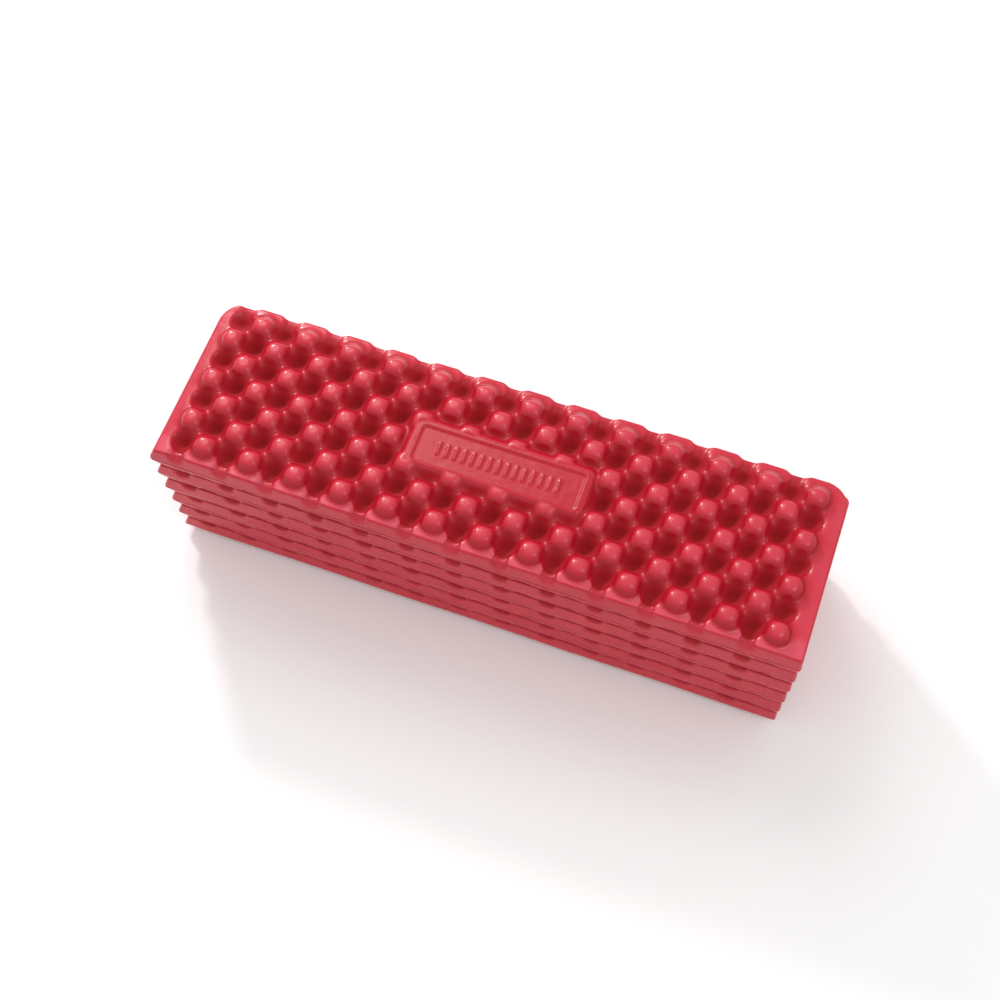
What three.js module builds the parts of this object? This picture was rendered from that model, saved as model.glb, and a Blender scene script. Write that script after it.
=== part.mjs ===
// Folding foam sleeping pad, shown folded: eleven egg-crate panels stacked in an accordion and joined
// along their long edges by ten creases. Millimetres, +Z up, X along the pad's width, -Y the front.
// The origin is the centre of the footprint, on the ground.
import * as THREE from "three";

// Driving dimensions
const PANEL_COUNT = 11;
const PAD_WIDTH = 500; // along X, end to end
const CREASE_SPAN = 141.8; // from the front creases to the back creases
const FREE_EDGE = 71.4; // from the middle to an edge that has no crease
const PITCH = 12.13; // height that one folded panel takes up
const GAP = 0.3; // air between two folded panels
const SPACING = 18.2; // egg-crate lattice, both ways
const COLUMNS = 26;
const ROWS = 7;
const RELIEF = 8; // height of a hill, and depth of a pit
const PLATEAU = { x: 238.5, y: 63 }; // where the egg crate ends and the flat margin begins
const TIP = 2.5; // half width of the flat patch on which a bump bears on the ground

// Edges: a panel's ends and sides lean in from its B face to its A face.
const LEAN_LEFT = 4.4;
const LEAN_RIGHT = 0.6;
const LEAN_SIDE = 1.9;
const LEAN_FREE_EDGE = 1;
const CORNER_RADIUS = 19; // the two corners of the top panel's free edge
const ARC_STEPS = 5;

// Creases: a round strand in the fold, 0.95 inside the line that the fold turns on, and the groove that
// each panel leaves for it.
const STRAND_RADIUS = 0.8;
const STRAND_SIDES = 8;
const STRAND_LENGTH = 490;
const GROOVE = { depth: 1.5, height: 1.15, lip: 0.15 };

// Raised plaque in the middle of the top panel
const PLAQUE = { columns: 8, rows: 3, height: 7.5 };

const THICKNESS = PITCH - GAP;
const HINGE_Y = CREASE_SPAN / 2;
const LEVELS = [0, GROOVE.height, THICKNESS - GROOVE.height, THICKNESS];

const foam = new THREE.MeshStandardMaterial({ color: 0xc8384a, roughness: 0.45, metalness: 0 });
const crease = new THREE.MeshStandardMaterial({ color: 0x9e2234, roughness: 0.5, metalness: 0 });

const lerp = THREE.MathUtils.lerp;

/** Lattice lines from one plateau edge to the other, with a site on every line but the two outer ones. */
function latticeLines(count, edge) {
  const sites = Array.from({ length: count }, (_, i) => (i - (count - 1) / 2) * SPACING);
  return [-edge, ...sites, edge];
}

const LINES_X = latticeLines(COLUMNS, PLATEAU.x);
const LINES_Y = latticeLines(ROWS, PLATEAU.y);

/** "hill", "pit" or "margin" at line i across and line j along the depth: a chequerboard of hills and pits. */
function siteKind(i, j) {
  if (i === 0 || j === 0 || i > COLUMNS || j > ROWS) return "margin";
  return (i + j) % 2 ? "hill" : "pit";
}

/** Whether a site belongs to the plaque, which takes the middle columns and rows. */
function onPlaque(i, j) {
  const fromMiddleX = Math.abs(i - (COLUMNS + 1) / 2);
  const fromMiddleY = Math.abs(j - (ROWS + 1) / 2);
  return fromMiddleX < PLAQUE.columns / 2 && fromMiddleY < PLAQUE.rows / 2;
}

/** Height of the egg crate at a site, above the plateau. */
function reliefAt(i, j, plaque) {
  if (plaque && onPlaque(i, j)) return PLAQUE.height;
  return { hill: RELIEF, pit: -RELIEF, margin: 0 }[siteKind(i, j)];
}

/** Where a side wall stands at each level, given where its crease is: "top", "bottom" or neither. */
function sideProfile(hingeAt) {
  if (!hingeAt) return LEVELS.map((z) => FREE_EDGE - (LEAN_FREE_EDGE * z) / THICKNESS);
  const wall = [
    HINGE_Y - GROOVE.depth,
    HINGE_Y - GROOVE.lip,
    HINGE_Y - lerp(GROOVE.lip, LEAN_SIDE, LEVELS[2] / THICKNESS),
    HINGE_Y - LEAN_SIDE,
  ];
  return hingeAt === "bottom" ? wall : wall.reverse();
}

/** Outline of a panel at one level, anticlockwise from the front left corner. */
function outline(left, right, front, back, cornerRadius) {
  const shape = new THREE.Shape();
  shape.moveTo(left, front);
  shape.lineTo(right, front);
  if (cornerRadius) {
    shape.absarc(right - cornerRadius, back - cornerRadius, cornerRadius, 0, Math.PI / 2, false);
    shape.absarc(left + cornerRadius, back - cornerRadius, cornerRadius, Math.PI / 2, Math.PI, false);
  } else {
    shape.lineTo(right, back);
    shape.lineTo(left, back);
  }
  return shape.getPoints(ARC_STEPS);
}

/** A growing list of vertices and triangles that becomes one closed BufferGeometry. */
class MeshBuilder {
  positions = [];
  triangles = [];

  vertex(x, y, z) {
    this.positions.push(x, y, z);
    return this.positions.length / 3 - 1;
  }

  /** Adds a triangle whose corners run anticlockwise seen from above, or turned over if faceDown. */
  flat(a, b, c, faceDown) {
    this.triangles.push(a, ...(faceDown ? [c, b] : [b, c]));
  }

  geometry() {
    const geometry = new THREE.BufferGeometry();
    geometry.setAttribute("position", new THREE.Float32BufferAttribute(this.positions, 3));
    geometry.setIndex(this.triangles);
    return geometry;
  }
}

/** The egg crate at one face. Returns the vertices of its rectangular rim, anticlockwise, and their places. */
function addEggCrate(mesh, z, { faceDown, plaque, flatTips }) {
  const grid = LINES_X.map((x, i) =>
    LINES_Y.map((y, j) => {
      const height = z + reliefAt(i, j, plaque);
      const tip = flatTips && siteKind(i, j) === "pit" ? TIP : 0;
      if (!tip) {
        const single = mesh.vertex(x, y, height);
        return { tip, corner: () => single };
      }
      const corners = [-1, 1].map((u) => [-1, 1].map((v) => mesh.vertex(x + u * TIP, y + v * TIP, height)));
      return { tip, corner: (u, v) => corners[(u + 1) / 2][(v + 1) / 2] };
    }),
  );

  for (let i = 0; i < LINES_X.length - 1; i++) {
    for (let j = 0; j < LINES_Y.length - 1; j++) {
      const a = grid[i][j].corner(1, 1);
      const b = grid[i + 1][j].corner(-1, 1);
      const c = grid[i + 1][j + 1].corner(-1, -1);
      const d = grid[i][j + 1].corner(1, -1);
      // The diagonal runs from pit to pit, so each hill stands alone.
      if ((i + j) % 2) {
        mesh.flat(a, b, d, faceDown);
        mesh.flat(b, c, d, faceDown);
      } else {
        mesh.flat(a, b, c, faceDown);
        mesh.flat(a, c, d, faceDown);
      }
    }
  }

  grid.forEach((column, i) =>
    column.forEach(({ tip, corner }, j) => {
      if (!tip) return;
      const [a, b, c, d] = [corner(-1, -1), corner(1, -1), corner(1, 1), corner(-1, 1)];
      mesh.flat(a, b, c, faceDown);
      mesh.flat(a, c, d, faceDown);
      mesh.flat(b, grid[i + 1][j].corner(), c, faceDown);
      mesh.flat(c, grid[i][j + 1].corner(), d, faceDown);
      mesh.flat(d, grid[i - 1][j].corner(), a, faceDown);
      mesh.flat(a, grid[i][j - 1].corner(), b, faceDown);
    }),
  );

  const lastX = LINES_X.length - 1;
  const lastY = LINES_Y.length - 1;
  const rim = [
    ...LINES_X.slice(0, -1).map((_, i) => [i, 0]),
    ...LINES_Y.slice(0, -1).map((_, j) => [lastX, j]),
    ...LINES_X.slice(0, -1).map((_, i) => [lastX - i, lastY]),
    ...LINES_Y.slice(0, -1).map((_, j) => [0, lastY - j]),
  ];
  return {
    vertices: rim.map(([i, j]) => grid[i][j].corner()),
    points: rim.map(([i, j]) => new THREE.Vector2(LINES_X[i], LINES_Y[j])),
  };
}

/** The flat margin between a panel's outline and the rim of its egg crate. */
function addMargin(mesh, loop, points, rim, faceDown) {
  const vertices = [...loop, ...rim.vertices];
  const places = [...points, ...rim.points];
  for (const [a, b, c] of THREE.ShapeUtils.triangulateShape(points, [[...rim.points].reverse()])) {
    // The hole is given clockwise, so its vertices count backwards from the end.
    const [p, q, r] = [a, b, c].map((n) => (n < loop.length ? n : places.length - 1 - (n - loop.length)));
    const anticlockwise = THREE.ShapeUtils.area([places[p], places[q], places[r]]) > 0;
    mesh.flat(vertices[p], vertices[q], vertices[r], faceDown === anticlockwise);
  }
}

/** The wall between two outlines, the lower one first. */
function addWall(mesh, lower, upper) {
  lower.forEach((a, n) => {
    const next = (n + 1) % lower.length;
    mesh.triangles.push(a, lower[next], upper[next], a, upper[next], upper[n]);
  });
}

/**
 * One panel, with its lower plateau at z = 0. The relief of both faces is the same, so folded panels nest.
 * Each side is { hingeAt: "top" | "bottom" | undefined }; the B face is the wider one.
 */
function panelGeometry({ front, back, bFaceDown, cornerRadius, plaque, flatTips }) {
  const mesh = new MeshBuilder();
  const frontY = sideProfile(front);
  const backY = sideProfile(back);
  const outlines = LEVELS.map((z, level) => {
    const towardsA = bFaceDown ? z / THICKNESS : 1 - z / THICKNESS;
    const left = -PAD_WIDTH / 2 + LEAN_LEFT * towardsA;
    const right = PAD_WIDTH / 2 - LEAN_RIGHT * towardsA;
    return outline(left, right, -frontY[level], backY[level], cornerRadius);
  });
  const loops = outlines.map((points, level) => points.map(({ x, y }) => mesh.vertex(x, y, LEVELS[level])));
  loops.slice(1).forEach((upper, level) => addWall(mesh, loops[level], upper));

  const bottomRim = addEggCrate(mesh, 0, { faceDown: true, flatTips });
  addMargin(mesh, loops[0], outlines[0], bottomRim, true);
  const topRim = addEggCrate(mesh, THICKNESS, { faceDown: false, plaque });
  addMargin(mesh, loops[3], outlines[3], topRim, false);
  return mesh.geometry();
}

/** The four mouldings: the two end panels of the pad, and the two that alternate between them. */
const mouldings = {
  top: panelGeometry({ front: "bottom", bFaceDown: true, cornerRadius: CORNER_RADIUS, plaque: true }),
  odd: panelGeometry({ front: "bottom", back: "top", bFaceDown: true }),
  even: panelGeometry({ front: "top", back: "bottom", bFaceDown: false }),
  bottom: panelGeometry({ back: "top", bFaceDown: true, flatTips: true }),
};

function mouldingOf(number) {
  if (number === 1) return mouldings.top;
  if (number === PANEL_COUNT) return mouldings.bottom;
  return number % 2 ? mouldings.odd : mouldings.even;
}

/** Height of a panel's lower plateau. Panel 1 is on top. */
function panelHeight(number) {
  return RELIEF + (PANEL_COUNT - number) * PITCH;
}

const twoDigits = (number) => String(number).padStart(2, "0");

const pad = new THREE.Group();

for (let number = 1; number <= PANEL_COUNT; number++) {
  const panel = new THREE.Mesh(mouldingOf(number), foam);
  panel.name = `panel_${twoDigits(number)}`;
  panel.position.z = panelHeight(number);
  pad.add(panel);
}

// Crease n joins panel n to the panel below it: odd ones at the front, even ones at the back.
const strand = new THREE.CylinderGeometry(STRAND_RADIUS, STRAND_RADIUS, STRAND_LENGTH, STRAND_SIDES);
strand.rotateZ(Math.PI / 2);
for (let number = 1; number < PANEL_COUNT; number++) {
  const hinge = new THREE.Mesh(strand, crease);
  hinge.name = `crease_${twoDigits(number)}`;
  hinge.position.set(0, number % 2 ? -HINGE_Y : HINGE_Y, panelHeight(number) - GAP / 2);
  pad.add(hinge);
}

export default pad;
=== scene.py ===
import math

import bpy
import numpy as np
from mathutils import Matrix, Vector


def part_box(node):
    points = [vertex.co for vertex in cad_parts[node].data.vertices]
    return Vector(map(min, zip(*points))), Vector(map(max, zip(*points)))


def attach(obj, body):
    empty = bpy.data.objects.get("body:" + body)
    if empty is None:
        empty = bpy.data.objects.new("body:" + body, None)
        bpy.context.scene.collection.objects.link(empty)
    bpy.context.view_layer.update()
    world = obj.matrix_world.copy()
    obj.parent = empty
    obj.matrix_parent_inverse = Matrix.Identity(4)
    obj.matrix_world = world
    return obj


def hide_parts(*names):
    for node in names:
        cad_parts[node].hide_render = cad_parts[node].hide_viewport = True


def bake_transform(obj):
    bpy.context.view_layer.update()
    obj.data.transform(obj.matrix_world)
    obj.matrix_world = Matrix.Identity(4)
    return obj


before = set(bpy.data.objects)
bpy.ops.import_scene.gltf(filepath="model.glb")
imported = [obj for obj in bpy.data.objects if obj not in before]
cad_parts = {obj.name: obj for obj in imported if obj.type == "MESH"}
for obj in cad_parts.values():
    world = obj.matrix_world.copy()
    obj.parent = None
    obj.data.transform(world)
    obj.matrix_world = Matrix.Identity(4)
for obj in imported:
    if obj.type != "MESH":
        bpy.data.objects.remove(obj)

# Lengths are in millimetres until a mesh, a light or the camera is made. Heights are called z.
MM = 0.001

# The egg crate: a chequerboard of round hills and round pits.
SPACING = 18.2
COLUMNS, ROWS = 26, 7
HILL = 8.0
RADIUS = {"hill": 9.5, "pit": 9.4}
WIDER = 1.3  # how much wider a hill is away from the rim
FULLNESS = {"hill": 0.62, "pit": 0.95}  # how square-shouldered a bump is; the smaller, the fuller
SWELL = {"hill": 0.36, "pit": -0.2}  # how much fuller the wave's flanks are than a sine's
LIFT = 0.22  # how far the saddles between the inner bumps stand above the plateau, as a share of a hill
WAVE_SHARE = 0.6  # how much of the inner bumps is one smooth wave, without flats between them
RIM_BAND = 9.0  # how far in from the rim the bumps are inner bumps
UNEVEN = {"share": 0.025, "by_column": 12.9, "by_row": 78.2}  # how much one bump differs from the next
FILLET = 1.0

# Even levels are A planes, where the pad's narrower faces meet, and odd levels B planes. Level 0 is the top.
PANEL_COUNT = 11
EDGES = {
    "left": {"A": -245.8, "B": -250.2},
    "right": {"A": 249.5, "B": 250.5},
    "front": {"A": -69.0, "B": -71.6},
    "back": {"A": 71.6, "B": 69.0},
}
FREE_EDGE = {"top": 70.3, "bottom": 71.6}
FREE_SOFT = {"fillet": 2.6, "from_to": (56.0, 62.0)}  # the free edge is moulded softer than the rest
CLEARANCE = {"first": 0.5, "other": 0.15}  # how much more a panel's underside keeps off its neighbour
ROUNDING = {"A": 1.6, "B": 0.8}
ARC_RINGS, WALL_RINGS = 4, 9  # rings of points round each rounding and down the straight wall
FAR = 99.0  # beyond the reach of every channel
CORNER = {"front": 1.8, "crease": 1.8, "open_left": 12.0, "open_right": 6.0, "free": 19.0}
CORNER_LEAST = 0.4
PILLOW = {"drop": 0.9, "from": -237.0, "to": -246.5, "fade": 8.0}  # the left end's droop; it fades below
WAVY = {"size": 0.22, "per_mm": 0.043, "per_panel": 2.1}  # the slight waviness of the front and back walls

# Channels run from the outermost pits over an open edge. Each is told by its depth, half its width and the
# softness of its sides at a distance along the edge's section: negative on the face, 0 at the edge, positive
# down the wall. CHANNEL is the top panel's, SLIT the lower ones', ARCH is on the undersides, and LOBE on the
# top panel's free edge.
CHANNEL = {
    "along": [-12.0, -6.0, -2.0, 0.5, 3.5, 7.0, 9.5],
    "deep": [0.0, 2.2, 3.0, 3.2, 2.1, 0.7, 0.0],
    "half": [4.8, 4.9, 5.8, 6.8, 5.8, 3.5, 2.0],
    "soft": [1.2, 1.3, 1.5, 1.8, 3.5, 6.0, 6.0],
}
SLIT = {
    "along": [-12.0, -6.0, -2.0, 0.0, 2.5, 5.0, 7.0, 9.0],
    "deep": [0.0, 2.2, 3.2, 3.6, 3.4, 2.5, 1.1, 0.0],
    "half": [4.8, 4.9, 5.4, 5.9, 5.7, 4.9, 3.6, 2.0],
    "soft": [1.2, 1.3, 1.6, 2.0, 2.6, 3.2, 3.8, 4.0],
}
LOBE = {
    "along": [-12.0, -6.0, -2.0, 0.0, 4.0, 14.0],
    "deep": [0.0, 1.9, 2.5, 2.6, 2.3, 2.1],
    "half": [4.8, 4.9, 6.0, 7.0, 8.0, 8.5],
    "soft": [2.0, 2.6, 4.5, 7.0, 10.0, 10.0],
}
ARCH = {
    "along": [-12.0, -6.0, 0.0, 2.5, 5.5],
    "deep": [0.0, 1.5, 2.2, 1.4, 0.0],
    "half": [5.0, 5.0, 7.0, 6.0, 3.0],
    "soft": [1.5, 1.5, 3.0, 4.0, 5.0],
}
# How strongly the front channels of the upward faces are cut, how far they run down the wall, and how much
# painted shade they get for each millimetre of depth: the top panel's first, and then down the stack
FRONT_CHANNELS = [1.0, 1.05, 1.0, 1.0, 0.95, 0.9]
CHANNEL_RUN = [1.0, 0.85, 0.65, 0.55, 0.5, 0.45]
CHANNEL_SHADE = [0.13, 0.16, 0.18, 0.19, 0.20, 0.20]
BACK_CHANNELS = 0.8
# painted shade in the undersides' arches and the free edge's lobes, for each millimetre of depth
ARCH_SHADE, LOBE_SHADE = 0.12, 0.04
CHANNEL_ENDS = (241.0, 228.0)  # channels fade out from the second to the first distance from the middle
CHANNEL_TURN = (-5.0, 7.0)  # where along the section a channel's cut turns from down to inward
FACE_SHADE = (0.0, -4.0)  # the top panel's channels get painted shade on its face only

# Painted light and shade on the foam: 1 where a point sees the whole sky, less in the pits as painted shade.
# Painted sheen adds more on the flat rim, most at the front, and on the hills for each millimetre above half
# a hill's height, with painted shade below it. The walls and plaque have their own levels.
RIM_PAINTED_SHEEN = 0.27
RIM_FRONT = {"elsewhere": 0.3, "from_to": (-50.0, -60.0)}
RIM_WHERE = {"rows": 0.4, "from_to": (-3.0, 1.0), "flat": (1.2, 0.3)}  # rows in, distance out, flatness
HEIGHT_PAINTED_SHEEN_AND_SHADE = 0.018
# painted light and shade at fixed levels: a touch of painted shade on the walls, more on the plaque
WALL_PAINTED_LIGHT, PLAQUE_PAINTED_LIGHT = 0.98, 0.87
SEAM_SHADE = {"tone": 0.35, "from_to": (1.6, -1.0)}  # painted shade just under a seam, on a lower panel with an A top
SKY_REACHES = (2.0, 4.0, 6.0, 9.0, 12.0, 16.0)  # how far off the relief is looked at to find the sky's edge

# The raised plaque of the top panel, its sunk field, and a row of ribs in the field. A wall goes from the
# first to the second distance outside the outline.
PLAQUE = {"centre": (1.5, 0.4), "half": (68.0, 18.0), "corner": 4.5, "height": 7.7, "foot": 8.5, "moat": -3.0}
FIELD = {"centre": (2.5, -0.9), "half": (63.0, 14.6), "corner": 3.0, "depth": 1.1, "wall": (0.5, -0.5)}
RIBS = {"count": 15, "pitch": 6.6, "half": (1.25, 5.6), "corner": 1.2, "height": 0.9, "wall": (0.5, -0.6)}

# Distances between the grid lines of a face: the top panel's, finer round the plaque, and the others'
FINE = {"x": 1.32, "y": 1.38, "plaque": 0.8, "margin": 3.0}
PLAIN = {"x": 1.4, "y": 2.3}

# The pressed web of a crease: half its depth and height, how far in it lies, its stations along X, the points
# round each, and how far up and down its blend reaches
WEB = {"half_y": 0.75, "half_z": 0.5, "inward": 0.1, "stations": 260, "sides": 12, "reach": 0.7}
WEB_ENDS = {"left": 2.0, "right": 1.0, "bluntness": 60}
WEB_PINCHES = ((0.12, 0.21, 1.0), (0.08, 0.57, 2.0))  # size, radians per millimetre and radians per crease

# Colours of the foam: its own mottled red, a painted sheen, a painted shade and a deeper painted shade, and
# the painted-light levels between which each takes over from the one before
MOTTLED = ((0.54, 0.015, 0.034), (0.59, 0.022, 0.044))
PAINTED_SHEEN = {"colour": (0.68, 0.070, 0.108), "painted_light_levels": (1.0, 1.2)}
PAINTED_SHADE = {"colour": (0.43, 0.003, 0.014), "painted_light_levels": (0.99, 0.78)}
DEEPER_PAINTED_SHADE = {"colour": (0.32, 0.0008, 0.0046), "painted_light_levels": (0.64, 0.34)}
DULLER = {"roughness": 0.6, "painted_light_levels": (0.85, 0.50)}  # what the pits' roughness has above the skin's
WEB_COLOURS = ((0.42, 0.012, 0.028), (0.50, 0.018, 0.038))

# Camera, relative to the middle of the top panel's plateau
CAMERA = {"azimuth": 22.79, "elevation": 65.4, "roll": -3.2, "distance": 1061.2, "aim": (11.37, -22.14)}
LENS = 52.73

# The studio, in metres and watts. Every light looks at the target.
SURROUNDINGS = 0.70
TARGET = (0.0, 0.0, 0.12)
LIGHTS = {
    "overhead": {"direction": (-0.4, 0.5, 0.8), "distance": 1.8, "size": 0.9, "power": 8.0},
    "fill": {"direction": (0.6, -0.2, 0.78), "distance": 1.8, "size": 0.9, "power": 5.0},
    "key": {"direction": (-0.615, 0.591, 0.52), "distance": 1.5, "size": 0.16, "power": 8.5},
}
FLOOR_HALF = 6000.0


def smoothstep(low, high, value):
    t = np.clip((value - low) / (high - low), 0.0, 1.0)
    return t * t * (3.0 - 2.0 * t)


def rounded_box_distance(x, y, centre, half, corner):
    """Distance outside a rectangle with rounded corners; negative inside."""
    qx = np.abs(x - centre[0]) - half[0] + corner
    qy = np.abs(y - centre[1]) - half[1] + corner
    outside = np.hypot(np.maximum(qx, 0.0), np.maximum(qy, 0.0))
    return outside + np.minimum(np.maximum(qx, qy), 0.0) - corner


def soften(height, sigma, step):
    """Gaussian blur of a height field, which gives its edges a fillet."""
    reach = int(math.ceil(3.0 * sigma / step))
    taps = np.exp(-0.5 * (np.arange(-reach, reach + 1) * step / sigma) ** 2)
    taps /= taps.sum()
    for axis in (0, 1):
        pad = [(reach, reach) if a == axis else (0, 0) for a in (0, 1)]
        wide = np.pad(height, pad, mode="edge")
        count = height.shape[axis]
        height = sum(w * np.take(wide, range(k, k + count), axis=axis) for k, w in enumerate(taps))
    return height


def lattice(x, y):
    """Nearest site's column and row, its distance, and which sites are hills."""
    column = np.clip(np.floor(x / SPACING), -COLUMNS // 2, COLUMNS // 2 - 1)
    row = np.clip(np.round(y / SPACING), -(ROWS // 2), ROWS // 2)
    distance = np.hypot(x - (column + 0.5) * SPACING, y - row * SPACING)
    return column, row, distance, (column + row) % 2 == 1


def egg_crate(x, y):
    """Round bumps at the rim of the chequerboard, which further in run into each other as a smooth wave."""
    column, row, distance, hill = lattice(x, y)
    rim_x, rim_y = COLUMNS / 2 * SPACING, ROWS / 2 * SPACING
    inner = smoothstep(rim_x, rim_x - RIM_BAND, np.abs(x)) * smoothstep(rim_y, rim_y - RIM_BAND, np.abs(y))
    radius = np.where(hill, RADIUS["hill"] + WIDER * inner, RADIUS["pit"])
    fullness = np.where(hill, FULLNESS["hill"], FULLNESS["pit"])
    dome = np.clip(1.0 - (distance / radius) ** 2, 0.0, 1.0) ** fullness
    wave = np.abs(np.sin(math.pi * x / SPACING) * np.cos(math.pi * y / SPACING))
    lift = LIFT * (1.0 - wave ** 2)
    wave = wave * (1.0 + np.where(hill, SWELL["hill"], SWELL["pit"]) * (1.0 - wave * wave))
    share = WAVE_SHARE * inner
    uneven = 1.0 + UNEVEN["share"] * np.sin(UNEVEN["by_column"] * column + UNEVEN["by_row"] * row)
    height = HILL * uneven * (dome * (1.0 - share) + wave * share)
    return np.where(hill, height, -height) + HILL * lift * inner


def add_plaque(x, y, height):
    """The plaque stands in a shallow moat that takes the place of the bumps next to it."""
    away = rounded_box_distance(x, y, PLAQUE["centre"], PLAQUE["half"], PLAQUE["corner"])
    slope = PLAQUE["height"] + (PLAQUE["moat"] - PLAQUE["height"]) * np.clip(away / PLAQUE["foot"], 0.0, 1.0)
    near = away < PLAQUE["foot"]
    height = np.where(near, np.maximum(np.maximum(height, PLAQUE["moat"]), slope), height)
    return np.where(away < 0.0, PLAQUE["height"], height)


def add_field(x, y, height):
    """The sunk field of the plaque, with a row of plain upright ribs."""
    field = rounded_box_distance(x, y, FIELD["centre"], FIELD["half"], FIELD["corner"])
    height = height - FIELD["depth"] * smoothstep(*FIELD["wall"], field)
    for k in range(RIBS["count"]):
        middle = (FIELD["centre"][0] + (k - (RIBS["count"] - 1) / 2) * RIBS["pitch"], FIELD["centre"][1])
        rib = rounded_box_distance(x, y, middle, RIBS["half"], RIBS["corner"])
        height = height + RIBS["height"] * smoothstep(*RIBS["wall"], rib)
    return height


def sky_share(height, step):
    """How much of the sky each point of a height field sees: 1 on a hill, least at the bottom of a pit."""
    hidden = np.zeros(height.shape)
    directions = [(1, 0), (0.7, 0.7), (0, 1), (-0.7, 0.7), (-1, 0), (-0.7, -0.7), (0, -1), (0.7, -0.7)]
    for ahead_x, ahead_y in directions:
        steepest = np.zeros(height.shape)
        for reach in SKY_REACHES:
            shift = (-round(ahead_x * reach / step), -round(ahead_y * reach / step))
            rise = (np.roll(height, shift, (0, 1)) - height) / reach
            steepest = np.maximum(steepest, rise)
        hidden += steepest ** 2 / (1 + steepest ** 2)
    return 1.0 - hidden / len(directions)


def painted_light_of_face(x, y, height, step):
    """Painted light and shade of a face: painted shade by its share of the sky, and painted sheen on the flat
    rim and on the hills.
    """
    rim_x, rim_y = COLUMNS / 2 * SPACING, (ROWS / 2 - RIM_WHERE["rows"]) * SPACING
    beyond = np.maximum(np.abs(x) - rim_x, np.abs(y) - rim_y)
    flat_rim = smoothstep(*RIM_WHERE["from_to"], beyond) * smoothstep(*RIM_WHERE["flat"], np.abs(height))
    elsewhere = RIM_FRONT["elsewhere"]
    front = elsewhere + (1.0 - elsewhere) * smoothstep(*RIM_FRONT["from_to"], y)
    # painted shade where the sky is hidden, painted sheen on the flat rim, and on the hills by height
    tone = sky_share(height, step) + RIM_PAINTED_SHEEN * flat_rim * front
    return tone + HEIGHT_PAINTED_SHEEN_AND_SHADE * (height - HILL / 2) * (1.0 - flat_rim)


class Relief:
    """A face's height above its plateau and its painted light and shade, kept on an even grid and read
    between its points.
    """

    STEP = 0.5
    HALF = (256.0, 80.0)

    def __init__(self, with_plaque):
        xs, ys = (np.arange(-half, half + self.STEP / 2, self.STEP) for half in self.HALF)
        x, y = np.meshgrid(xs, ys, indexing="ij")
        self.height = egg_crate(x, y)
        if with_plaque:
            self.height = add_plaque(x, y, self.height)
        self.height = soften(self.height, FILLET, self.STEP)
        if with_plaque:
            near_free_edge = smoothstep(*FREE_SOFT["from_to"], y)
            softer = soften(self.height, FREE_SOFT["fillet"], self.STEP)
            self.height = self.height * (1.0 - near_free_edge) + softer * near_free_edge
            self.height = add_field(x, y, self.height)
        self.tone = painted_light_of_face(x, y, self.height, self.STEP)
        if with_plaque:
            on_plaque = rounded_box_distance(x, y, PLAQUE["centre"], PLAQUE["half"], PLAQUE["corner"]) < 0.0
            # the plaque gets its fixed painted-light level, a painted shade
            self.tone[on_plaque] = PLAQUE_PAINTED_LIGHT

    def at(self, x, y, grid):
        """Value of the height grid or the painted light and shade grid at points of the face."""
        i = (x + self.HALF[0]) / self.STEP
        j = (y + self.HALF[1]) / self.STEP
        i0 = np.clip(np.floor(i).astype(int), 0, grid.shape[0] - 2)
        j0 = np.clip(np.floor(j).astype(int), 0, grid.shape[1] - 2)
        fi, fj = i - i0, j - j0
        low = grid[i0, j0] * (1 - fi) + grid[i0 + 1, j0] * fi
        high = grid[i0, j0 + 1] * (1 - fi) + grid[i0 + 1, j0 + 1] * fi
        return low * (1 - fj) + high * fj


def plane_kind(level):
    """Whether the two faces that meet at a level are A planes or B planes."""
    return "B" if level % 2 else "A"


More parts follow.
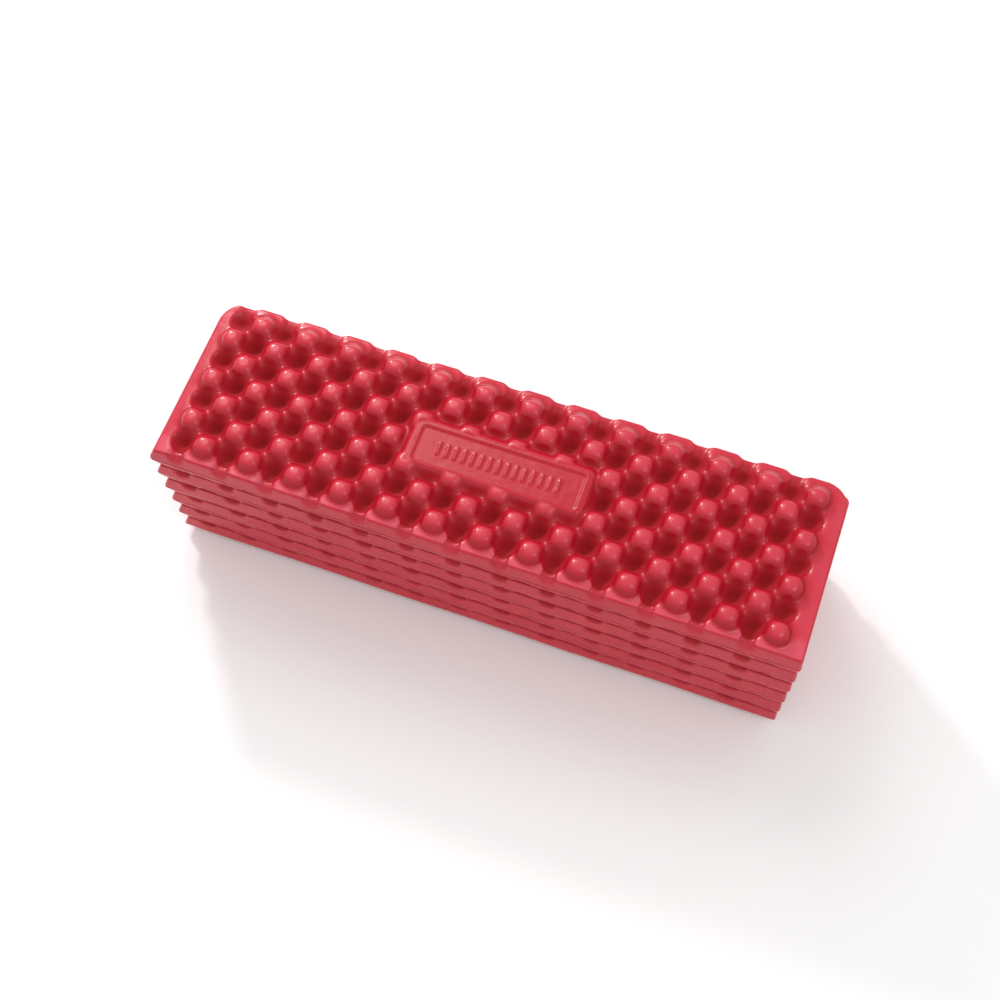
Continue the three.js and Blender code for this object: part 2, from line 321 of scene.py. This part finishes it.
class Panel:
    """One panel as a closed mesh: two faces with the same relief and a wall of rings between them."""

    def __init__(self, number):
        self.number = number
        self.node = f"panel_{number:02d}"
        low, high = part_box(self.node)
        self.z_top = high[2] / MM - HILL
        self.z_bottom = low[2] / MM + HILL + CLEARANCE["first" if number == 1 else "other"]
        self.top_kind = plane_kind(number - 1)
        self.bottom_kind = plane_kind(number)
        self.relief = RELIEFS[number == 1]
        self.u, self.v = self.grid_lines()

    def grid_lines(self):
        """Places of the grid lines across and along the depth, as shares from 0 to 1."""
        width = EDGES["right"]["B"] - EDGES["left"]["B"]
        depth = EDGES["back"]["A"] - EDGES["front"]["B"]
        if self.number > 1:
            return np.linspace(0, 1, round(width / PLAIN["x"])), np.linspace(0, 1, round(depth / PLAIN["y"]))
        reach_x, reach_y = (half + FINE["margin"] for half in PLAQUE["half"])
        across = spread_lines(width, FINE["x"], FINE["plaque"], reach_x)
        along = spread_lines(depth, FINE["y"], FINE["plaque"], reach_y)
        return across, along

    def share_down(self, z):
        """0 at the panel's top plateau, 1 at its bottom plateau."""
        return (self.z_top - z) / (self.z_top - self.z_bottom)

    def edges_at(self, z):
        """Left, right, front and back edge at a height."""
        share = self.share_down(z)
        edges = []
        for side in ("left", "right", "front", "back"):
            top = EDGES[side][self.top_kind]
            bottom = EDGES[side][self.bottom_kind]
            if side == "back" and self.number == 1:
                top, bottom = FREE_EDGE["top"], FREE_EDGE["bottom"]
            edges.append(top + (bottom - top) * share)
        return edges

    def corners(self, z):
        """Radii of the front, back left and back right corners; the back ones open out away from a crease."""
        if self.number == 1:
            return CORNER["front"], CORNER["free"], CORNER["free"]
        share = self.share_down(z)
        away = share if self.bottom_kind == "B" else 1.0 - share
        crease = CORNER["crease"]
        left, right = (crease + (CORNER[k] - crease) * away for k in ("open_left", "open_right"))
        return CORNER["front"], left, right

    def plan(self, z, inset, u, v):
        """Plan positions of grid lines u, v on the panel's outline at a height, drawn in by inset."""
        left, right, front, back = self.edges_at(z)
        x = (left + inset) + (right - left - 2 * inset) * u
        y = (front + inset) + (back - front - 2 * inset) * v
        radii = [max(radius - inset, CORNER_LEAST) for radius in self.corners(z)]
        front_radius, left_radius, right_radius = radii
        middle_x, middle_y = (left + right) / 2, (front + back) / 2
        radius = np.where(y < middle_y, front_radius, np.where(x < middle_x, left_radius, right_radius))
        a = (np.abs(x - middle_x) - (right - left) / 2 + inset) / radius + 1.0
        b = (np.abs(y - middle_y) - (back - front) / 2 + inset) / radius + 1.0
        inside = (a > 0) & (b > 0)
        a, b = np.clip(a, 0, 1), np.clip(b, 0, 1)
        shift_x = radius * a * (np.sqrt(1 - b * b / 2) - 1)
        shift_y = radius * b * (np.sqrt(1 - a * a / 2) - 1)
        x = np.where(inside, x + np.sign(x - middle_x) * shift_x, x)
        y = np.where(inside, y + np.sign(y - middle_y) * shift_y, y)
        return x, y

    def channel(self, upward, side):
        """Shape, strength, run and painted shade of the channels on a face's front or back edge; None on a
        crease.
        """
        level = self.number - 1 if upward else self.number
        if level == 0 and side == "back":
            return LOBE, 1.0, 1.0, LOBE_SHADE
        if level % 2 == (1 if side == "front" else 0):
            return None
        if not upward:
            return ARCH, 1.0, 1.0, ARCH_SHADE
        shape = CHANNEL if level == 0 else SLIT
        strength = FRONT_CHANNELS[level // 2] if side == "front" else BACK_CHANNELS
        return shape, strength, CHANNEL_RUN[level // 2], CHANNEL_SHADE[level // 2]

    def cut(self, x, y, z, along, upward, side):
        """Moves points of an edge's section in and down where a channel runs over it; gives its painted shade
        too.
        """
        found = self.channel(upward, side)
        if found is None:
            return y, z, np.zeros(x.shape)
        shape, strength, run, shade = found
        along = np.where(along > 0.0, along / run, along)
        parity = 1 if upward else 0
        column = 2 * np.round((x / SPACING - 0.5 - parity) / 2) + parity
        off = np.abs(x - (column + 0.5) * SPACING)
        deep, half, soft = (np.interp(along, shape["along"], shape[k]) for k in ("deep", "half", "soft"))
        weight = smoothstep(0.0, 1.0, (half + soft / 2 - off) / soft) * smoothstep(*CHANNEL_ENDS, np.abs(x))
        turn = smoothstep(*CHANNEL_TURN, along) * math.pi / 2
        inward = 1.0 if side == "front" else -1.0
        down = -1.0 if upward else 1.0
        deep = strength * weight * deep
        if self.number == 1:
            shade = shade * smoothstep(*FACE_SHADE, along)
        return y + inward * deep * np.sin(turn), z + down * deep * np.cos(turn), shade * deep

    def face(self, upward):
        """Points and painted light and shade of the top or the bottom face's grid, within the rounding of its
        edges.
        """
        z0 = self.z_top if upward else self.z_bottom
        kind = self.top_kind if upward else self.bottom_kind
        inset = ROUNDING[kind]
        u, v = np.meshgrid(self.u, self.v, indexing="ij")
        x, y = self.plan(z0, inset, u, v)
        relief = self.relief if upward else RELIEFS[False]
        z = z0 + relief.at(x, y, relief.height)
        tone = relief.at(x, y, relief.tone)
        if upward and kind == "A":
            z = z - PILLOW["drop"] * smoothstep(PILLOW["from"], PILLOW["to"], x)
        front, back = self.edges_at(z0)[2:]
        y, z, front_shade = self.cut(x, y, z, front - y, upward, "front")
        y, z, back_shade = self.cut(x, y, z, y - back, upward, "back")
        # painted shade in the channels, arches and lobes
        tone = tone - front_shade - back_shade
        return np.stack([x, y, z], axis=-1), tone.ravel()

    def section(self):
        """Rings between the two faces: height, inset, and distances along the section from either edge.

        On one edge's rounding the distance from the other edge is FAR.
        """
        top, bottom = ROUNDING[self.top_kind], ROUNDING[self.bottom_kind]
        arc = [(k + 1) / (ARC_RINGS + 1) for k in range(ARC_RINGS)]
        rows = []
        for share in arc:
            angle = share * math.pi / 2
            z = self.z_top - top * (1 - math.cos(angle))
            rows.append((z, top * (1 - math.sin(angle)), top * (2 * share - 1), FAR))
        for z in np.linspace(self.z_top - top, self.z_bottom + bottom, WALL_RINGS):
            rows.append((z, 0.0, self.z_top - z, z - self.z_bottom))
        for share in reversed(arc):
            angle = share * math.pi / 2
            z = self.z_bottom + bottom * (1 - math.cos(angle))
            rows.append((z, bottom * (1 - math.sin(angle)), FAR, bottom * (2 * share - 1)))
        return rows

    def ring(self, z, inset, from_top, from_bottom, loop):
        """Points and painted light and shade of one ring of the wall. The left end's droop runs out as the
        ring goes down.
        """
        u, v = loop
        x, y = self.plan(z, inset, u, v)
        height = np.full(x.shape, float(z))
        if self.top_kind == "A":
            share = 1.0 - smoothstep(0.0, PILLOW["fade"], self.z_top - z)
            height -= PILLOW["drop"] * share * smoothstep(PILLOW["from"], PILLOW["to"], x)
        y += WAVY["size"] * np.sin(x * WAVY["per_mm"] + self.number * WAVY["per_panel"]) * np.sign(y)
        tone = np.full(x.shape, WALL_PAINTED_LIGHT)
        # painted shade just under a seam
        if self.top_kind == "A" and self.number > 1:
            tone -= SEAM_SHADE["tone"] * smoothstep(*SEAM_SHADE["from_to"], from_top)
        for side, row in (("front", 0.0), ("back", 1.0)):
            for along, upward in ((from_top, True), (from_bottom, False)):
                moved_y, moved_z, shade = self.cut(x, y, height, np.full(x.shape, along), upward, side)
                y = np.where(v == row, moved_y, y)
                height = np.where(v == row, moved_z, height)
                tone = np.where(v == row, tone - shade, tone)
        return np.stack([x, y, height], axis=-1), tone


def spread_lines(length, coarse, fine, reach):
    """Shares from 0 to 1 of lines spaced coarse, and fine within reach of the middle."""
    outer = length / 2 - reach
    outside = np.linspace(0, outer, round(outer / coarse) + 1)
    count = 2 * (round(reach / fine)) + 1
    inside = np.linspace(outer, length - outer, count)
    lines = np.concatenate([outside[:-1], inside, (length - outside[:-1])[::-1]])
    return lines / length


def boundary(nx, ny):
    """Grid places of a face's rim, anticlockwise from the front left corner."""
    front = [(i, 0) for i in range(nx - 1)]
    right = [(nx - 1, j) for j in range(ny - 1)]
    back = [(i, ny - 1) for i in range(nx - 1, 0, -1)]
    left = [(0, j) for j in range(ny - 1, 0, -1)]
    return np.array(front + right + back + left)


def grid_polygons(nx, ny, step, first, upward):
    """Polygons of a face on every step-th grid line; a rim cell keeps all of its rim points."""
    polygons = []
    for i in range(0, nx - 1, step):
        for j in range(0, ny - 1, step):
            front = range(i, i + step, 1 if j == 0 else step)
            right = range(j, j + step, 1 if i + step == nx - 1 else step)
            back = range(i + step, i, -1 if j + step == ny - 1 else -step)
            left = range(j + step, j, -1 if i == 0 else -step)
            corners = [(k, j) for k in front] + [(i + step, k) for k in right]
            corners += [(k, j + step) for k in back] + [(i, k) for k in left]
            polygon = [first + a * ny + b for a, b in corners]
            polygons.append(polygon if upward else polygon[:1] + polygon[:0:-1])
    return polygons


def mesh_object(name, points, polygons, material):
    """A smooth-shaded object at the origin; points are in millimetres."""
    mesh = bpy.data.meshes.new(name)
    mesh.from_pydata((np.asarray(points) * MM).tolist(), [], polygons)
    mesh.polygons.foreach_set("use_smooth", [True] * len(polygons))
    mesh.materials.append(material)
    mesh.update()
    piece = bpy.data.objects.new(name, mesh)
    bpy.context.scene.collection.objects.link(piece)
    return piece


def make_panel(number, material):
    """One panel as a padded piece: its points and painted light and shade, its polygons, and the frame's
    calls.
    """
    panel = Panel(number)
    nx, ny = len(panel.u), len(panel.v)
    top, top_painted_light = panel.face(True)
    bottom, bottom_painted_light = panel.face(False)
    rim = boundary(nx, ny)
    loop = (panel.u[rim[:, 0]], panel.v[rim[:, 1]])
    rings, ring_painted_light = zip(*(panel.ring(*row, loop) for row in panel.section()))

    points = np.concatenate([top.reshape(-1, 3), bottom.reshape(-1, 3), *rings])
    rim_places = rim[:, 0] * ny + rim[:, 1]
    count = len(rim)
    first_ring = 2 * nx * ny
    ring_places = [first_ring + k * count + np.arange(count) for k in range(len(rings))]
    rows = [rim_places] + ring_places + [rim_places + nx * ny]

    polygons = grid_polygons(nx, ny, 1, 0, True)
    polygons += grid_polygons(nx, ny, 2 if number == 1 else 1, nx * ny, False)
    for upper, lower in zip(rows[:-1], rows[1:]):
        wall = np.stack([upper, lower, np.roll(lower, -1), np.roll(upper, -1)], axis=-1)
        polygons += wall.tolist()

    used = np.zeros(len(points), bool)
    used[np.concatenate([np.asarray(p) for p in polygons])] = True
    renumber = np.cumsum(used) - 1
    polygons = [renumber[p].tolist() for p in polygons]
    painted_light_levels = np.concatenate([top_painted_light, bottom_painted_light, *ring_painted_light])
    piece = mesh_object(f"pad_{panel.node}", points[used], polygons, material)
    # the painted light and shade of each point, which the foam's material reads
    attribute = piece.data.attributes.new("tone", "FLOAT", "POINT")
    attribute.data.foreach_set("value", painted_light_levels[used].astype(np.float32))
    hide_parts(panel.node)
    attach(piece, panel.node)


def make_crease(number, material):
    """The pressed web that joins two panels: a slim bead along the bottom of the fold's groove."""
    node = f"crease_{number:02d}"
    low, high = (np.array(corner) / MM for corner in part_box(node))
    middle_y, middle_z = (low[1] + high[1]) / 2, (low[2] + high[2]) / 2
    outward = -1.0 if number % 2 else 1.0
    stations, sides = WEB["stations"], WEB["sides"]
    x = np.linspace(EDGES["left"]["A"] + WEB_ENDS["left"], EDGES["right"]["A"] - WEB_ENDS["right"], stations)
    angle = np.arange(sides) / sides * 2 * math.pi
    pinch = 1.0 + sum(size * np.sin(x * turns + turn * number) for size, turns, turn in WEB_PINCHES)
    from_middle = np.abs(np.linspace(-1, 1, stations))
    taper = np.sqrt(np.clip(1 - from_middle ** WEB_ENDS["bluntness"], 0.05, 1))
    half_y, half_z = WEB["half_y"] * taper, WEB["half_z"] * pinch * taper
    y = middle_y - outward * WEB["inward"] + half_y[:, None] * np.cos(angle)
    z = middle_z + half_z[:, None] * np.sin(angle)
    points = np.stack([np.repeat(x[:, None], sides, 1), y, z], axis=-1).reshape(-1, 3)
    polygons = [list(range(sides - 1, -1, -1)), [(stations - 1) * sides + k for k in range(sides)]]
    for i in range(stations - 1):
        for k in range(sides):
            a, b = i * sides + k, i * sides + (k + 1) % sides
            polygons.append([a, b, b + sides, a + sides])
    piece = mesh_object(f"web_{node}", points, polygons, material)
    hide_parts(node)
    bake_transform(piece)


class Nodes:
    """Short calls to add and join the nodes of one material."""

    def __init__(self, name):
        self.material = bpy.data.materials.new(name)
        self.material.use_nodes = True
        self.tree = self.material.node_tree
        self.shader = self.tree.nodes["Principled BSDF"]

    def add(self, kind, **values):
        node = self.tree.nodes.new(kind)
        for name, value in values.items():
            setattr(node, name, value)
        return node

    def join(self, source, target):
        self.tree.links.new(source, target)

    def noise(self, scale, detail=3.0):
        place = self.add("ShaderNodeTexCoord")
        node = self.add("ShaderNodeTexNoise")
        node.inputs["Scale"].default_value = scale
        node.inputs["Detail"].default_value = detail
        self.join(place.outputs["Object"], node.inputs["Vector"])
        return node.outputs["Fac"]

    def remap(self, value, low, high, to_low, to_high):
        node = self.add("ShaderNodeMapRange")
        for name, number in (("From Min", low), ("From Max", high), ("To Min", to_low), ("To Max", to_high)):
            node.inputs[name].default_value = number
        self.join(value, node.inputs["Value"])
        return node.outputs["Result"]

    def add_up(self, first, second):
        node = self.add("ShaderNodeMath", operation="ADD")
        self.join(first, node.inputs[0])
        self.join(second, node.inputs[1])
        return node.outputs["Value"]

    def mix(self, share, first, second):
        """Mixes two colours; each is a colour or another node's output."""
        node = self.add("ShaderNodeMix", data_type="RGBA")
        self.join(share, node.inputs["Factor"])
        for colour, socket in ((first, node.inputs["A"]), (second, node.inputs["B"])):
            if isinstance(colour, tuple):
                socket.default_value = (*colour, 1.0)
            else:
                self.join(colour, socket)
        return node.outputs["Result"]

    def bump(self, height, strength, distance, normal=None):
        node = self.add("ShaderNodeBump")
        node.inputs["Strength"].default_value = strength
        node.inputs["Distance"].default_value = distance
        self.join(height, node.inputs["Height"])
        if normal is not None:
            self.join(normal, node.inputs["Normal"])
        return node.outputs["Normal"]


def foam_material():
    """Moulded closed-cell foam: a slightly glossy mottled red skin with painted sheen on the hills and the
    flat rim, and painted shade and a duller skin in the pits.
    """
    n = Nodes("pad_foam_skin")
    tone = n.add("ShaderNodeAttribute", attribute_name="tone").outputs["Fac"]
    colour = n.mix(n.remap(n.noise(34.0), 0.35, 0.65, 0.0, 1.0), *MOTTLED)
    # painted sheen over the mottled red where the painted-light level is high, painted shade and deeper
    # painted shade where it is low
    for layer in (PAINTED_SHEEN, PAINTED_SHADE, DEEPER_PAINTED_SHADE):
        colour = n.mix(n.remap(tone, *layer["painted_light_levels"], 0.0, 1.0), colour, layer["colour"])
    n.join(colour, n.shader.inputs["Base Color"])
    skin = n.remap(n.noise(120.0), 0.3, 0.7, 0.21, 0.29)
    duller = n.remap(tone, *DULLER["painted_light_levels"], 0.0, DULLER["roughness"])
    n.join(n.add_up(skin, duller), n.shader.inputs["Roughness"])
    grain = n.bump(n.noise(1500.0, 2.0), 0.10, 0.0002)
    waves = n.bump(n.noise(160.0, 2.0), 0.25, 0.0008, grain)
    n.join(waves, n.shader.inputs["Normal"])
    n.shader.inputs["IOR"].default_value = 1.45
    return n.material


def crease_material():
    """The same foam where it is pressed thin: darker, denser and duller, with fine creases across it."""
    n = Nodes("crease_foam_web")
    colour = n.mix(n.remap(n.noise(220.0), 0.35, 0.65, 0.0, 1.0), *WEB_COLOURS)
    n.join(colour, n.shader.inputs["Base Color"])
    n.join(n.remap(n.noise(400.0), 0.3, 0.7, 0.42, 0.55), n.shader.inputs["Roughness"])
    n.join(n.bump(n.noise(900.0, 3.0), 0.35, 0.0003), n.shader.inputs["Normal"])
    return n.material


def plain_material(name, colour, roughness):
    n = Nodes(name)
    n.shader.inputs["Base Color"].default_value = (*colour, 1.0)
    n.shader.inputs["Roughness"].default_value = roughness
    return n.material


def add_area(name, direction, distance, size, power):
    """A square area light that looks at the target from a direction."""
    light = bpy.data.lights.new(name, "AREA")
    light.size = size
    light.energy = power
    holder = bpy.data.objects.new(name, light)
    place = Vector(TARGET) + Vector(direction).normalized() * distance
    holder.location = place
    holder.rotation_euler = (Vector(TARGET) - place).to_track_quat("-Z", "Y").to_euler()
    bpy.context.scene.collection.objects.link(holder)


def add_camera(plateau):
    """The camera of the studio picture: it looks down on the pad from the front right."""
    azimuth, elevation, roll = (math.radians(CAMERA[k]) for k in ("azimuth", "elevation", "roll"))
    back = Vector((math.sin(azimuth) * math.cos(elevation), -math.cos(azimuth) * math.cos(elevation),
                   math.sin(elevation)))
    right = Vector((math.cos(azimuth), math.sin(azimuth), 0.0))
    up = back.cross(right)
    right_rolled = right * math.cos(roll) + up * math.sin(roll)
    up_rolled = up * math.cos(roll) - right * math.sin(roll)
    place = back * CAMERA["distance"] * MM + Vector((*(c * MM for c in CAMERA["aim"]), plateau * MM))
    data = bpy.data.cameras.new("camera")
    data.lens = LENS
    data.sensor_width = 36.0
    data.clip_end = 50.0
    camera = bpy.data.objects.new("camera", data)
    columns = Matrix((right_rolled, up_rolled, back)).transposed()
    camera.matrix_world = Matrix.Translation(place) @ columns.to_4x4()
    bpy.context.scene.collection.objects.link(camera)
    bpy.context.scene.camera = camera


def add_floor():
    """A plain pale floor that reaches far past the picture."""
    half = FLOOR_HALF
    corners = [(-half, -half, 0.0), (half, -half, 0.0), (half, half, 0.0), (-half, half, 0.0)]
    floor = mesh_object("floor", corners, [[0, 1, 2, 3]], plain_material("floor_paint", (1.0, 1.0, 1.0), 0.9))


def add_studio():
    """Even pale surroundings, two broad soft lights above, and a smaller one from the back left."""
    world = bpy.data.worlds.new("studio")
    world.use_nodes = True
    world.node_tree.nodes["Background"].inputs["Color"].default_value = (1.0, 1.0, 1.0, 1.0)
    world.node_tree.nodes["Background"].inputs["Strength"].default_value = SURROUNDINGS
    bpy.context.scene.world = world
    for name, light in LIGHTS.items():
        add_area(name, **light)
    bpy.context.scene.view_settings.view_transform = "Standard"


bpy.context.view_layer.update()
RELIEFS = {False: Relief(False), True: Relief(True)}
foam = foam_material()
web = crease_material()
for number in range(1, PANEL_COUNT + 1):
    make_panel(number, foam)
for number in range(1, PANEL_COUNT):
    make_crease(number, web)
add_floor()
add_studio()
add_camera(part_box("panel_01")[1][2] / MM - HILL)
